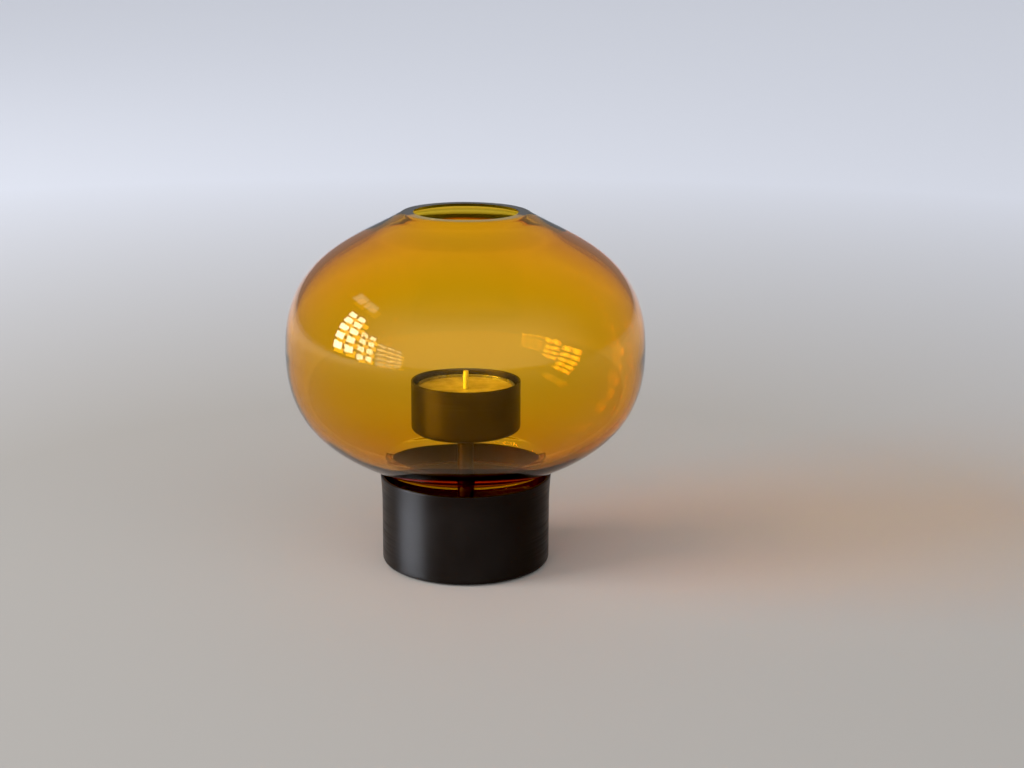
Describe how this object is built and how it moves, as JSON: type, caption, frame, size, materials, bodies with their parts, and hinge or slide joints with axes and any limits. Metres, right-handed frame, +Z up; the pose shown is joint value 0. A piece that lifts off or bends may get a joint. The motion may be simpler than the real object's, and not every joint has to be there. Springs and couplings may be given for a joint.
{
  "type": "tealight holder",
  "caption": "Tealight holder: flattened amber glass globe with a cut open top, standing in a round black metal base, with a turned cup on a stem inside it for a standard tealight.",
  "frame": {"origin": "middle of the foot pad's underside, on the surface the holder stands on", "axes": "+Z up along the common axis of the base, the stem, the cup and the globe; +X and +Y level"},
  "size_m": [0.14, 0.14, 0.1406],
  "materials": {
    "black_metal": "satin matt black",
    "dark_steel": "turned, blackened",
    "amber_glass": "clear amber, blown",
    "foot_foam": "closed-cell foam",
    "gasket_rubber": "matt",
    "zinc_steel": "zinc plated",
    "foil": "drawn foil",
    "wax": "white wax",
    "tinplate": "tinned",
    "wick_cotton": "waxed braid"
  },
  "bodies": {
    "holder": {"base_shell": "black_metal", "foot_pad": "foot_foam", "base_screw": "zinc_steel", "spacer_tube": "zinc_steel", "seat_plate": "black_metal", "seat_gasket": "gasket_rubber", "lock_washer": "zinc_steel", "stem": "dark_steel", "tealight_cup": "dark_steel", "cup_screw": "zinc_steel"},
    "shade": {"glass_shade": "amber_glass"},
    "tealight": {"tealight_shell": "foil", "wax": "wax", "wick_sustainer": "tinplate", "wick": "wick_cotton"}
  },
  "joints": [
    {"name": "shade_lift", "type": "slide", "parent": "holder", "child": "shade", "axis": [0, 0, 1], "range_m": [0, 0.06]},
    {"name": "tealight_lift", "type": "slide", "parent": "holder", "child": "tealight", "axis": [0, 0, 1], "range_m": [0, 0.09]}
  ]
}
